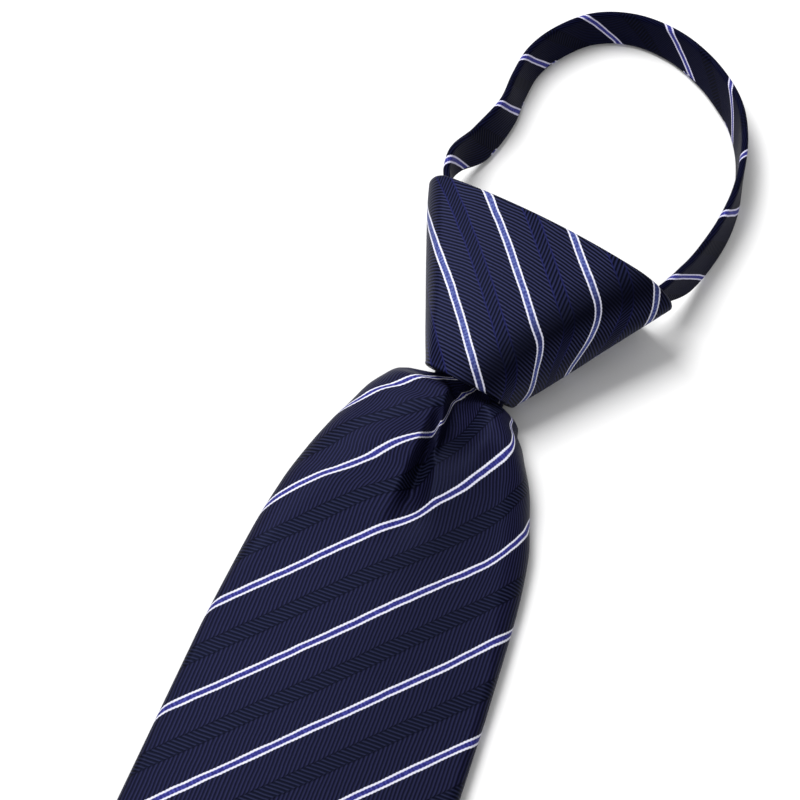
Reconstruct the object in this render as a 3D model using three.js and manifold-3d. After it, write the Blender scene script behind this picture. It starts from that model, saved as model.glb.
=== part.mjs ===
import * as THREE from 'three';
import { mergeVertices } from 'three/addons/utils/BufferGeometryUtils.js';
import Module from 'manifold-3d';

// Zipper tie lying flat with its front up. Millimetres, +Z up, and z = 0 is the surface that it lies on.
// +Y runs from the blade's tip to the neck loop. The origin is the middle of the knot's flat back.

// Knot: a wound cloth sleeve, wide at its rim and narrow at its lip
const knotLength = 37;
const knotRimWidth = 57.6;
const knotLipWidth = 20.4;
const knotRimDepth = 19;
const knotLipDepth = 13.5;
const knotWall = 2.2;
const knotLipWall = 1.6;
const lipWallReach = 0.25;
const knotTurn = THREE.MathUtils.degToRad(9.5);
const rimSkew = THREE.MathUtils.degToRad(2);
const footRoundness = 1.25;
const lipRecess = 6;
const rimRecess = 1;
const rimBow = 0.7;

// Blade: a flat padded cloth tube, gathered where it goes up into the knot
const bladeLength = 444;
const bladeShoulderWidth = 80;
const bladeGatheredCloth = 54;
const bladeThickness = 4;
const bladeTipAngle = THREE.MathUtils.degToRad(90);
const bladeShift = 5.7;
const gatherLength = 62;
const bundleLength = 12;
const bundleEase = 0.7;
const bladeUnderRoll = 8;
const lobeBlend = 0.2;

// Neck band: a narrow strap that stands on its edge round the neck opening
const bandWidth = 9;
const bandThickness = 1.5;
const loopWidth = 54;
const loopReach = 64.5;
const bandInset = 6;
const endDraw = 0.7;
const entryHeight = 7.4;

// Zip tail: the drawn-through zip that lies flat behind the blade
const tailLength = 230;
const tailWidth = 12;
const tailThickness = 1.8;

// Gap that pieces keep to each other
const clearance = 0.3;

// How finely the surfaces are divided
const acrossSteps = 26;
const rollSteps = 4;
const bandSteps = 72;
const tailEndSteps = 8;
const gatherCrowding = 1.3;

// Knot sections from lip to rim. at: share of the length. width and depth: shares of the way from the lip's
// size to the rim's. leftRoll, rightRoll and footRoll: rolled sides as shares of the half width. side: height
// of the widest line as a share of the depth. dome: fall of the front to its sides as a share of the depth.
const knotSections = [
  { at: 0.0, width: 0.0, depth: 0.0, leftRoll: 0.3, rightRoll: 0.6, footRoll: 0.3, side: 0.35, dome: 0.08 },
  { at: 0.12, width: 0.13, depth: 0.3, leftRoll: 0.28, rightRoll: 0.54, footRoll: 0.3, side: 0.38, dome: 0.09 },
  { at: 0.35, width: 0.36, depth: 0.62, leftRoll: 0.24, rightRoll: 0.42, footRoll: 0.3, side: 0.45, dome: 0.1 },
  { at: 0.65, width: 0.66, depth: 0.88, leftRoll: 0.18, rightRoll: 0.32, footRoll: 0.31, side: 0.56, dome: 0.11 },
  { at: 0.9, width: 0.91, depth: 0.99, leftRoll: 0.14, rightRoll: 0.24, footRoll: 0.32, side: 0.63, dome: 0.12 },
  { at: 1.0, width: 1.0, depth: 1.0, leftRoll: 0.12, rightRoll: 0.2, footRoll: 0.32, side: 0.64, dome: 0.12 },
];

// Gathered sections down from the lip. at: share of the gather's length. shift: share of the blade's shift.
// spread: share of the way from the lip's hollow to the flat cloth. left and right: heights of the two lobes
// as shares of the way from the flat thickness to the lip's hollow. crease: depth as a share of the hollow.
// creaseAt: place from the middle as a share of the half width. creaseLeft, creaseRight, leftRoll and
// rightRoll: widths as shares of the half width. edge: height of the side edges as a share of the
// thickness. floor: share of the lift over the knot's back.
const gatherSections = [
  { at: -0.2, shift: 0.15, spread: 0.0, left: 0.9, right: 0.9, crease: 0.25, creaseAt: 0.0, creaseLeft: 0.5,
    creaseRight: 0.5, leftRoll: 0.7, rightRoll: 0.7, edge: 0.8, floor: 1.0, turn: 1.0 },
  { at: -0.07, shift: 0.4, spread: 0.0, left: 0.85, right: 0.85, crease: 0.3, creaseAt: 0.05, creaseLeft: 0.4,
    creaseRight: 0.7, leftRoll: 0.8, rightRoll: 0.8, edge: 0.8, floor: 1.0, turn: 1.0 },
  { at: -0.034, shift: 0.46, spread: 0.0, left: 0.7, right: 0.85, crease: 0.34, creaseAt: 0.1, creaseLeft: 0.35,
    creaseRight: 0.75, leftRoll: 1.0, rightRoll: 0.95, edge: 0.8, floor: 0.6, turn: 1.0 },
  { at: -0.01, shift: 0.74, spread: 0.25, left: 0.5, right: 0.8, crease: 0.38, creaseAt: 0.15, creaseLeft: 0.3,
    creaseRight: 0.8, leftRoll: 1.0, rightRoll: 0.75, edge: 0.85, floor: 0.0, turn: 1.0 },
  { at: 0.03, shift: 0.85, spread: 0.333, left: 0.93, right: 0.92, crease: 0.42, creaseAt: 0.17, creaseLeft: 0.24,
    creaseRight: 0.7, leftRoll: 0.9, rightRoll: 0.55, edge: 0.85, floor: 0.0, turn: 0.9 },
  { at: 0.08, shift: 0.9, spread: 0.47, left: 0.94, right: 0.93, crease: 0.45, creaseAt: 0.18, creaseLeft: 0.18,
    creaseRight: 0.58, leftRoll: 0.84, rightRoll: 0.43, edge: 0.78, floor: 0.0, turn: 0.65 },
  { at: 0.13, shift: 0.93, spread: 0.57, left: 0.9, right: 0.92, crease: 0.44, creaseAt: 0.18, creaseLeft: 0.16,
    creaseRight: 0.48, leftRoll: 0.8, rightRoll: 0.4, edge: 0.72, floor: 0.0, turn: 0.4 },
  { at: 0.22, shift: 0.93, spread: 0.7, left: 0.72, right: 0.76, crease: 0.36, creaseAt: 0.13, creaseLeft: 0.15,
    creaseRight: 0.38, leftRoll: 0.72, rightRoll: 0.38, edge: 0.66, floor: 0.0, turn: 0.2 },
  { at: 0.32, shift: 0.95, spread: 0.8, left: 0.54, right: 0.58, crease: 0.22, creaseAt: 0.12, creaseLeft: 0.16,
    creaseRight: 0.34, leftRoll: 0.6, rightRoll: 0.36, edge: 0.6, floor: 0.0, turn: 0.1 },
  { at: 0.45, shift: 0.94, spread: 0.9, left: 0.36, right: 0.4, crease: 0.05, creaseAt: 0.1, creaseLeft: 0.2,
    creaseRight: 0.36, leftRoll: 0.4, rightRoll: 0.28, edge: 0.54, floor: 0.0, turn: 0.0 },
  { at: 0.65, shift: 0.96, spread: 0.965, left: 0.16, right: 0.18, crease: 0.0, creaseAt: 0.05, creaseLeft: 0.2,
    creaseRight: 0.3, leftRoll: 0.2, rightRoll: 0.16, edge: 0.5, floor: 0.0, turn: 0.0 },
  { at: 1.0, shift: 1.0, spread: 1.0, left: 0.0, right: 0.0, crease: 0.0, creaseAt: 0.0, creaseLeft: 0.2,
    creaseRight: 0.2, leftRoll: 0.0, rightRoll: 0.0, edge: 0.5, floor: 0.0, turn: 0.0 },
];

// Neck loop from the knot's left corner round to its right one. across: share of half the loop's width.
// reach: share of the loop's reach beyond the rim. lift: share of the step up into the knot. lean: how far
// the band leans outwards, in degrees. width: share of the band's width, less where it is pinched.
const loopRoute = [
  { across: -0.885, reach: 0.02, lift: 1.0, lean: 8, width: 0.56 },
  { across: -1.03, reach: 0.11, lift: 0.7, lean: 4, width: 0.75 },
  { across: -1.06, reach: 0.19, lift: 0.4, lean: 10, width: 0.95 },
  { across: -0.99, reach: 0.32, lift: 0.0, lean: 25, width: 1.0 },
  { across: -0.95, reach: 0.47, lift: 0.0, lean: 18, width: 1.0 },
  { across: -0.99, reach: 0.59, lift: 0.0, lean: 16, width: 1.0 },
  { across: -1.0, reach: 0.7, lift: 0.0, lean: 15, width: 1.0 },
  { across: -0.92, reach: 0.81, lift: 0.0, lean: 14, width: 1.0 },
  { across: -0.72, reach: 0.93, lift: 0.0, lean: 11, width: 1.0 },
  { across: -0.42, reach: 0.995, lift: 0.0, lean: 9, width: 1.0 },
  { across: -0.06, reach: 1.0, lift: 0.0, lean: 11, width: 1.0 },
  { across: 0.25, reach: 0.96, lift: 0.0, lean: 13, width: 1.0 },
  { across: 0.48, reach: 0.905, lift: 0.0, lean: 13, width: 1.0 },
  { across: 0.68, reach: 0.835, lift: 0.0, lean: 9, width: 1.0 },
  { across: 0.84, reach: 0.74, lift: 0.0, lean: 3, width: 1.0 },
  { across: 0.955, reach: 0.63, lift: 0.0, lean: -2, width: 1.0 },
  { across: 1.03, reach: 0.52, lift: 0.0, lean: -8, width: 1.0 },
  { across: 1.06, reach: 0.4, lift: 0.0, lean: -12, width: 1.0 },
  { across: 1.05, reach: 0.28, lift: 0.05, lean: -13, width: 1.0 },
  { across: 1.015, reach: 0.16, lift: 0.25, lean: -12, width: 1.0 },
  { across: 0.96, reach: 0.075, lift: 0.6, lean: -4, width: 0.9 },
  { across: 0.89, reach: 0.015, lift: 1.0, lean: 5, width: 0.56 },
];

// Smooth value of one column of a table whose rows are ordered by a share
function columnAt(rows, key, name, at) {
  const last = rows.length - 1;
  let i = 0;
  while (i < last - 1 && at > rows[i + 1][key]) i += 1;
  const slope = (j) => (rows[j + 1][name] - rows[j][name]) / (rows[j + 1][key] - rows[j][key]);
  const bend = (j) => {
    if (j === 0 || j === last) return slope(Math.min(j, last - 1));
    const before = slope(j - 1);
    const after = slope(j);
    return before * after > 0 ? (2 * before * after) / (before + after) : 0;
  };
  const span = rows[i + 1][key] - rows[i][key];
  const t = THREE.MathUtils.clamp((at - rows[i][key]) / span, 0, 1);
  const rise = rows[i + 1][name] - rows[i][name];
  const start = bend(i) * span;
  const end = bend(i + 1) * span;
  return rows[i][name] + t * (start + t * (3 * rise - 2 * start - end + t * (start + end - 2 * rise)));
}

// Share of full height at a distance in from a side that rolls over a given width. A roundness of 2 is a
// true ellipse, and nearer 1 is a straighter slope.
function rolled(distance, width, roundness = 2) {
  const outer = 1 - THREE.MathUtils.clamp(distance / width, 0, 1);
  return (1 - outer ** roundness) ** (1 / roundness);
}

// Fall into a crease at a distance from its bottom, steeper on its narrow side
function creaseFall(distance, leftWidth, rightWidth) {
  const share = distance < 0 ? -distance / leftWidth : distance / rightWidth;
  return share < 1 ? (1 + Math.cos(Math.PI * share)) / 2 : 0;
}

// Places across a section from its left edge (-1) to its right edge (1), closest together at the edges
function acrossPlaces() {
  const places = [];
  for (let i = 0; i <= acrossSteps; i += 1) {
    places.push(Math.sin(Math.PI * (i / acrossSteps - 0.5)));
  }
  return places;
}

// Closed section ring in the XZ plane from its top and bottom heights at each place
function sectionRing(half, top, bottom) {
  const places = acrossPlaces();
  const over = places.map((place) => new THREE.Vector3(place * half, 0, top(place)));
  const under = places.slice(1, -1).reverse();
  return over.concat(under.map((place) => new THREE.Vector3(place * half, 0, bottom(place))));
}

// Closed body from rings of equal count, either capped at both ends or joined end to start
function loft(rings, joined) {
  const count = rings[0].length;
  const positions = rings.flat().flatMap((point) => [point.x, point.y, point.z]);
  const faces = [];
  const spans = joined ? rings.length : rings.length - 1;
  for (let r = 0; r < spans; r += 1) {
    const next = (r + 1) % rings.length;
    for (let i = 0; i < count; i += 1) {
      const j = (i + 1) % count;
      const [a, b, c, d] = [r * count + i, r * count + j, next * count + j, next * count + i];
      faces.push(a, b, c, a, c, d);
    }
  }
  if (!joined) {
    [0, rings.length - 1].forEach((r, side) => {
      const centre = new THREE.Vector3();
      rings[r].forEach((point) => centre.addScaledVector(point, 1 / count));
      const hub = positions.length / 3;
      positions.push(centre.x, centre.y, centre.z);
      for (let i = 0; i < count; i += 1) {
        const [a, b] = [r * count + i, r * count + ((i + 1) % count)];
        faces.push(...(side === 0 ? [hub, b, a] : [hub, a, b]));
      }
    });
  }
  const geometry = new THREE.BufferGeometry();
  geometry.setAttribute('position', new THREE.Float32BufferAttribute(positions, 3));
  geometry.setIndex(faces);
  return geometry;
}

function clothMesh(name, geometry, colour, roughness) {
  geometry.computeVertexNormals();
  const material = new THREE.MeshStandardMaterial({ color: colour, roughness, metalness: 0 });
  const mesh = new THREE.Mesh(geometry, material);
  mesh.name = name;
  return mesh;
}

// Knot ring at a share of its length, drawn in from the outer face and pushed along by a bulge
function knotRing(at, inset, bulge) {
  const column = (name) => columnAt(knotSections, 'at', name, at);
  const half = THREE.MathUtils.lerp(knotLipWidth, knotRimWidth, column('width')) / 2 - inset;
  const depth = THREE.MathUtils.lerp(knotLipDepth, knotRimDepth, column('depth')) - inset;
  const foot = inset;
  const edge = THREE.MathUtils.lerp(foot, depth, column('side'));
  const front = (place) => depth * (1 - column('dome') * place * place);
  const leftWidth = column('leftRoll') * half;
  const rightWidth = column('rightRoll') * half;
  const top = (place) => {
    const side = place < 0 ? rolled((1 + place) * half, leftWidth) : rolled((1 - place) * half, rightWidth);
    return edge + (front(place) - edge) * side;
  };
  const footWidth = column('footRoll') * half;
  const bottom = (place) => edge - (edge - foot) * rolled((1 - Math.abs(place)) * half, footWidth, footRoundness);
  const ring = sectionRing(half, top, bottom);
  ring.forEach((point) => {
    const behind = 1 - point.z / (depth + inset);
    const lip = -knotLength / 2 + lipRecess * behind;
    const bow = rimBow * (1 - (point.x / half) ** 2);
    const rim = knotLength / 2 - rimRecess * behind - point.x * Math.tan(rimSkew) + bow;
    point.y = THREE.MathUtils.lerp(lip, rim, at) + bulge;
  });
  return ring;
}

// Knot: outer face from lip to rim, rolled rim, inner face back to the lip, rolled lip
function buildKnot() {
  const rows = [];
  const stations = 10;
  const wallAt = (at) => THREE.MathUtils.lerp(knotLipWall, knotWall, Math.min(1, at / lipWallReach));
  for (let i = 0; i <= stations; i += 1) rows.push([i / stations, 0, 0]);
  for (let i = 1; i < rollSteps; i += 1) {
    const angle = (Math.PI * i) / rollSteps;
    rows.push([1, (knotWall * (1 - Math.cos(angle))) / 2, (knotWall / 2) * Math.sin(angle)]);
  }
  for (let i = stations; i >= 0; i -= 1) rows.push([i / stations, wallAt(i / stations), 0]);
  for (let i = rollSteps - 1; i > 0; i -= 1) {
    const angle = (Math.PI * i) / rollSteps;
    rows.push([0, (knotLipWall * (1 - Math.cos(angle))) / 2, (-knotLipWall / 2) * Math.sin(angle)]);
  }
  return loft(rows.map(([at, inset, bulge]) => knotRing(at, inset, bulge)), true);
}

// Half width of the flat cloth at a distance down from the lip
function clothHalf(down) {
  const shoulder = bladeLength - bladeShoulderWidth / 2 / Math.tan(bladeTipAngle / 2);
  const straight = THREE.MathUtils.lerp(bladeGatheredCloth, bladeShoulderWidth, down / shoulder) / 2;
  return Math.min(straight, (bladeLength - down) * Math.tan(bladeTipAngle / 2));
}

// Blade ring at a distance down from the lip
function bladeRing(down) {
  const at = Math.min(down / gatherLength, 1);
  const column = (name) => columnAt(gatherSections, 'at', name, at);
  const hollowHalf = knotLipWidth / 2 - knotLipWall - bundleEase;
  const hollowTop = knotLipDepth - knotLipWall - bundleEase;
  const half = THREE.MathUtils.lerp(hollowHalf, clothHalf(down), column('spread'));
  const foot = column('floor') * (knotWall + clearance);
  const edge = Math.min(foot + column('edge') * bladeThickness, (foot + hollowTop) / 2);
  const lobe = (share) => THREE.MathUtils.lerp(bladeThickness, hollowTop, share);
  const creaseAt = column('creaseAt');
  const crest = (place) => {
    const blend = THREE.MathUtils.smoothstep(place, creaseAt - lobeBlend, creaseAt + lobeBlend);
    const fall = creaseFall(place - creaseAt, column('creaseLeft'), column('creaseRight'));
    return lobe(THREE.MathUtils.lerp(column('left'), column('right'), blend)) - fall * column('crease') * hollowTop;
  };
  const rollWidth = (share) => Math.min(half, Math.max(share * half, bladeThickness / 2));
  const leftWidth = rollWidth(column('leftRoll'));
  const rightWidth = rollWidth(column('rightRoll'));
  const roll = (place) => rolled((1 - Math.abs(place)) * half, place < 0 ? leftWidth : rightWidth);
  const top = (place) => edge + (crest(place) - edge) * roll(place);
  const bottom = (place) => {
    const flat = edge - (edge - foot) * rolled((1 - Math.abs(place)) * half, edge - foot);
    const side = rolled((1 - Math.abs(place)) * half, bladeUnderRoll);
    return flat + Math.max(0, top(place) - bladeThickness - flat) * side;
  };
  const ring = sectionRing(half, top, bottom);
  const turn = column('turn') * knotTurn;
  const centre = -bladeShift * column('shift');
  ring.forEach((point) => {
    point.y = -knotLength / 2 - down - point.x * Math.sin(turn);
    point.x = centre + point.x * Math.cos(turn);
  });
  return ring;
}

function buildBlade() {
  const downs = [];
  const gatherStations = 26;
  for (let i = 0; i <= gatherStations; i += 1) {
    const share = i / gatherStations;
    downs.push(THREE.MathUtils.lerp(-bundleLength, gatherLength, share ** gatherCrowding));
  }
  const shoulder = bladeLength - bladeShoulderWidth / 2 / Math.tan(bladeTipAngle / 2);
  const straightStations = 8;
  for (let i = 1; i <= straightStations; i += 1) {
    downs.push(THREE.MathUtils.lerp(gatherLength, shoulder, i / straightStations));
  }
  downs.push((shoulder + bladeLength) / 2, bladeLength - bladeThickness / 2, bladeLength - bladeThickness / 8);
  return loft(downs.map(bladeRing).reverse(), false);
}

// Neck band: a strap swept round the loop, leaning as the route's table says
function buildBand() {
  const half = loopWidth / 2;
  const rim = knotLength / 2;
  const place = (row) => new THREE.Vector3(row.across * half, rim + row.reach * loopReach, 0);
  const rows = [loopRoute[0], ...loopRoute, loopRoute[loopRoute.length - 1]];
  const points = rows.map(place);
  points[0].y = rim - bandInset;
  points[0].x += bandInset * endDraw;
  points[points.length - 1].y = rim - bandInset;
  points[points.length - 1].x -= bandInset * endDraw;
  const curve = new THREE.CatmullRomCurve3(points, false, 'centripetal');
  const stops = rows.map((row, i) => ({ ...row, stop: i / (rows.length - 1) }));
  const rings = [];
  for (let i = 0; i <= bandSteps; i += 1) {
    const share = i / bandSteps;
    const centre = curve.getPoint(share);
    const along = curve.getTangent(share);
    const outward = new THREE.Vector3(-along.y, along.x, 0).normalize();
    const lean = THREE.MathUtils.degToRad(columnAt(stops, 'stop', 'lean', share));
    const tall = outward.clone().multiplyScalar(Math.sin(lean)).setZ(Math.cos(lean));
    const thin = outward.clone().multiplyScalar(Math.cos(lean)).setZ(-Math.sin(lean));
    const width = bandWidth * columnAt(stops, 'stop', 'width', share);
    const stand = (width / 2) * Math.cos(lean) + (bandThickness / 2) * Math.abs(Math.sin(lean));
    centre.z = stand + columnAt(stops, 'stop', 'lift', share) * entryHeight;
    const section = bandSection(width);
    rings.push(section.map(([up, out]) => centre.clone().addScaledVector(tall, up).addScaledVector(thin, out)));
  }
  return loft(rings, false);
}

// Strap section as pairs of height and thickness, with rounded edges
function bandSection(width) {
  const flat = (width - bandThickness) / 2;
  const round = bandThickness / 2;
  const section = [];
  [0, Math.PI].forEach((start) => {
    for (let i = 0; i <= rollSteps; i += 1) {
      const angle = start + (Math.PI * i) / rollSteps;
      const side = start === 0 ? flat : -flat;
      section.push([side + round * Math.sin(angle), round * Math.cos(angle)]);
    }
  });
  return section;
}

// Zip tail: a flat strip with a round lower end
function buildTail(extraWidth, extraThickness) {
  const half = tailWidth / 2 + extraWidth;
  const outline = new THREE.Shape();
  outline.moveTo(half, extraWidth);
  outline.lineTo(-half, extraWidth);
  outline.lineTo(-half, half - tailLength - extraWidth);
  outline.absarc(0, half - tailLength - extraWidth, half, Math.PI, 2 * Math.PI, false);
  const options = { depth: tailThickness + extraThickness, bevelEnabled: false, curveSegments: tailEndSteps };
  return new THREE.ExtrudeGeometry(outline, options);
}

// Cutting of one closed body by another
const wasm = await Module();
wasm.setup();

function toSolid(geometry) {
  const bare = geometry.index ? geometry.toNonIndexed() : geometry.clone();
  bare.deleteAttribute('normal');
  bare.deleteAttribute('uv');
  const merged = mergeVertices(bare, 1e-4);
  const vertProperties = new Float32Array(merged.attributes.position.array);
  const triVerts = new Uint32Array(merged.index.array);
  return new wasm.Manifold(new wasm.Mesh({ numProp: 3, vertProperties, triVerts }));
}

function toGeometry(solid) {
  const mesh = solid.getMesh();
  const geometry = new THREE.BufferGeometry();
  geometry.setAttribute('position', new THREE.Float32BufferAttribute(mesh.vertProperties, 3));
  geometry.setIndex(Array.from(mesh.triVerts));
  return geometry;
}

// Assembly
const navySatin = 0x23243c;
const navyTape = 0x1b1c2e;
const tie = new THREE.Group();
const knotGroup = new THREE.Group();
knotGroup.rotation.z = -knotTurn;
knotGroup.add(clothMesh('knot', buildKnot(), navySatin, 0.5));
knotGroup.add(clothMesh('neck_band', buildBand(), navySatin, 0.5));
tie.add(knotGroup);

const lipBack = -knotLength / 2 + lipRecess - knotLipWall / 2;
const tailTop = lipBack - clearance - (tailWidth / 2) * Math.sin(knotTurn);
const tailPlace = new THREE.Vector3(-bladeShift, tailTop, 0);
const channel = buildTail(clearance, clearance);
channel.translate(tailPlace.x, tailPlace.y, 0);
const blade = toSolid(buildBlade()).subtract(toSolid(channel));
tie.add(clothMesh('blade', toGeometry(blade), navySatin, 0.5));

const tail = clothMesh('zip_tail', buildTail(0, 0), navyTape, 0.8);
tail.position.copy(tailPlace);
tie.add(tail);

export default tie;
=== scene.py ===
import math

import bpy
import numpy as np
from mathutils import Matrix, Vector


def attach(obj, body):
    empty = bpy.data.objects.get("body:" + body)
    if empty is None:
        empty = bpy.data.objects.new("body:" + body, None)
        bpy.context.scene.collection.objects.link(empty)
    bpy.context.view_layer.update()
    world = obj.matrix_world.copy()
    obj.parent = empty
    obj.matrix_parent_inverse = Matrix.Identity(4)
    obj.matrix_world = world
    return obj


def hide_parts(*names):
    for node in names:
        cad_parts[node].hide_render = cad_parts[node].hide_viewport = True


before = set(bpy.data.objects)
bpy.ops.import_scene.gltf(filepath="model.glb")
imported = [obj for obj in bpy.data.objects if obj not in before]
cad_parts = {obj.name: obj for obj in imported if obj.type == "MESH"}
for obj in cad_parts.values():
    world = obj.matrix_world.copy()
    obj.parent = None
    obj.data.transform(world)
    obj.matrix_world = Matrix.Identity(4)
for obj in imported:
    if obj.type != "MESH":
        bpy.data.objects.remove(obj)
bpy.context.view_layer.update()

mm = 0.001  # the pieces' sizes below are in millimetres


def linearColour(hexText):
    parts = [int(hexText[i:i + 2], 16) / 255 for i in (1, 3, 5)]
    return (*[c / 12.92 if c <= 0.04045 else ((c + 0.055) / 1.055) ** 2.4 for c in parts], 1.0)


# Adds a node with its settings. An input takes a value, a "#rrggbb" colour, a socket to link to, or a node,
# which is linked by its first live output.
def addNode(tree, kind, inputs=None, **settings):
    node = tree.nodes.new(kind)
    for name, value in settings.items():
        setattr(node, name, value)
    for key, value in (inputs or {}).items():
        if isinstance(value, bpy.types.Node):
            value = next(output for output in value.outputs if output.enabled)
        if isinstance(value, bpy.types.NodeSocket):
            tree.links.new(value, node.inputs[key])
        elif isinstance(value, str):
            node.inputs[key].default_value = linearColour(value)
        else:
            node.inputs[key].default_value = value
    return node


def newMaterial(name):
    material = bpy.data.materials.new(name)
    material.use_nodes = True
    material.node_tree.nodes.clear()
    return material, material.node_tree


def addObject(name, data):
    thing = bpy.data.objects.new(name, data)
    bpy.context.scene.collection.objects.link(thing)
    return thing


def lerp(a, b, t):
    return a + (b - a) * t


def smoothStep(x, low, high):
    t = np.clip((x - low) / (high - low), 0, 1)
    return t * t * (3 - 2 * t)


# Smooth values, by name, at a place in a table. Its first row names the columns, and the first column of
# the other rows says where each row holds.
def tableAt(table, at):
    names, rows = table[0], table[1:]
    last = len(rows) - 1
    i = 0
    while i < last - 1 and at > rows[i + 1][0]:
        i += 1
    span = rows[i + 1][0] - rows[i][0]
    t = min(max((at - rows[i][0]) / span, 0), 1)

    def slope(j, k):
        return (rows[j + 1][k] - rows[j][k]) / (rows[j + 1][0] - rows[j][0])

    def bend(j, k):
        if j in (0, last):
            return slope(min(j, last - 1), k)
        before, after = slope(j - 1, k), slope(j, k)
        return 2 * before * after / (before + after) if before * after > 0 else 0

    values = {}
    for k, name in enumerate(names[1:], 1):
        rise = rows[i + 1][k] - rows[i][k]
        start, end = bend(i, k) * span, bend(i + 1, k) * span
        curve = start + t * (3 * rise - 2 * start - end + t * (start + end - 2 * rise))
        values[name] = rows[i][k] + t * curve
    return values


# Share of full height at a distance in from a side that rolls over a width
def rolled(distance, width, roundness=2.0):
    outer = 1 - np.clip(distance / width, 0, 1)
    return (1 - outer ** roundness) ** (1 / roundness)


# 1 at a line, falling smoothly to 0 at a width to each side of it
def creaseFall(distance, leftWidth, rightWidth):
    share = np.where(distance < 0, -distance / leftWidth, distance / rightWidth)
    return np.where(share < 1, (1 + np.cos(np.pi * np.clip(share, 0, 1))) / 2, 0)


# Places from -1 to 1 that stand closer together towards both ends
def sinePlaces(count):
    return np.sin(np.pi * (np.arange(count + 1) / count - 0.5))


# Order round a closed section: from the middle of the back to the left edge, over the front, and back again
def aroundPlaces(overCount, underCount, backLines=()):
    over = sinePlaces(overCount)
    under = np.sort(np.concatenate([sinePlaces(underCount)[1:-1], backLines, -np.array(backLines)]))
    left = under[under < 0][::-1]
    right = under[under > 0][::-1]
    places = np.concatenate([[0.0], left, over, right])
    onTop = np.concatenate([[False], [False] * len(left), [True] * len(over), [False] * len(right)])
    return places, onTop


# Distance round a section, counted from one of its points or from a place between two of them
def aroundLengths(ring, start):
    steps = np.linalg.norm(np.roll(ring, -1, axis=0) - ring, axis=1)
    total = np.concatenate([[0.0], np.cumsum(steps)])
    return total - np.interp(start, np.arange(len(total)), total)


def turned(points, degrees):
    c, s = math.cos(math.radians(degrees)), math.sin(math.radians(degrees))
    x, y = points[..., 0], points[..., 1]
    return np.stack([c * x - s * y, s * x + c * y, points[..., 2]], -1)


# Closed surface from a grid of points, rows by columns. uv has one more column than the points, and one more
# row where the last row of points joins the first one. The last argument is the painted shade at each point.
def gridMesh(name, points, uv, rowsJoined, closed=None):
    rows, columns = points.shape[:2]
    spans = rows if rowsJoined else rows - 1
    r, c = np.meshgrid(np.arange(spans), np.arange(columns), indexing="ij")
    rNext, cNext = (r + 1) % rows, (c + 1) % columns
    corners = [r * columns + c, r * columns + cNext, rNext * columns + cNext, rNext * columns + c]
    quads = np.stack(corners, -1).reshape(-1, 4)
    quadUv = np.stack([uv[r, c], uv[r, c + 1], uv[r + 1, c + 1], uv[r + 1, c]], -2).reshape(-1, 2)
    flat = points.reshape(-1, 3)
    faces = quads.tolist()
    loops = [quadUv]
    if not rowsJoined:  # each end is closed round a point at its middle
        for side, row in enumerate((0, rows - 1)):
            hub = len(flat)
            flat = np.vstack([flat, points[row].mean(0)])
            hubUv = uv[row].mean(0)
            for i in range(columns):
                a, b = row * columns + i, row * columns + (i + 1) % columns
                faces.append([hub, a, b] if side else [hub, b, a])
                pair = [uv[row, i], uv[row, i + 1]]
                loops.append(np.array([hubUv, *(pair if side else pair[::-1])]))
    a, b, d = flat[quads[:, 0]], flat[quads[:, 1]], flat[quads[:, 2]]
    if np.einsum("ij,ij->", a, np.cross(b, d)) < 0:  # inside out, so every face is turned
        faces = [face[::-1] for face in faces]
        loops = [quadUv.reshape(-1, 4, 2)[:, ::-1].reshape(-1, 2)] + [part[::-1] for part in loops[1:]]
    mesh = bpy.data.meshes.new(name)
    mesh.from_pydata((flat * mm).tolist(), [], faces)
    layer = mesh.uv_layers.new(name="clothMm")
    layer.data.foreach_set("uv", np.vstack(loops).astype(np.float32).ravel())
    if closed is not None:
        values = np.zeros(len(flat), np.float32)
        values[:closed.size] = closed.ravel()
        mesh.attributes.new("paintedShade", "FLOAT", "POINT").data.foreach_set("value", values)
    mesh.polygons.foreach_set("use_smooth", [True] * len(mesh.polygons))
    mesh.update()
    return addObject(name, mesh)


def dress(piece, node, material):
    piece.data.materials.append(material)
    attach(piece, "root")
    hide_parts(node)


# The weave in millimetres, matched to the photo. Stripes and reversed bands take turns across the cloth.
weave = {
    "repeat": 15.5,  # from one stripe to the next, square to the stripes
    "stripeLean": 45.7,  # degrees from the cloth's width
    "ribPitch": 0.71,
    "reversedPitch": 0.75,
    "reversedHalf": 1.42,  # half the band whose ribs run the other way
    "lineOut": 0.05,  # how far outside that band its border line lies
    "lineHalf": 0.15,
    "threadPitch": 0.736,  # along the stripes' own threads
    "scallop": 0.03,  # how far the threads push the stripes' edges in and out
    "grainScallop": 0.048,
    "lineScallop": 0.8,  # share of both that the border lines get
    "stripeSoft": 0.07,  # how far each edge fades to each side
    "coreSoft": 0.09,
    "reversedSoft": 0.1,
    "lineSoft": 0.09,
    "drift": 0.5,  # how far the weave wanders, and how often
    "driftsPerMm": 0.16,
    "grainsPerMm": 1.9,
    "grainLow": 0.55,  # shade of the ribs with no grain, and what the grain adds
    "grainReach": 0.9,
    "threadRelief": 0.1,
    "ribHeight": 0.09,
}
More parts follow.
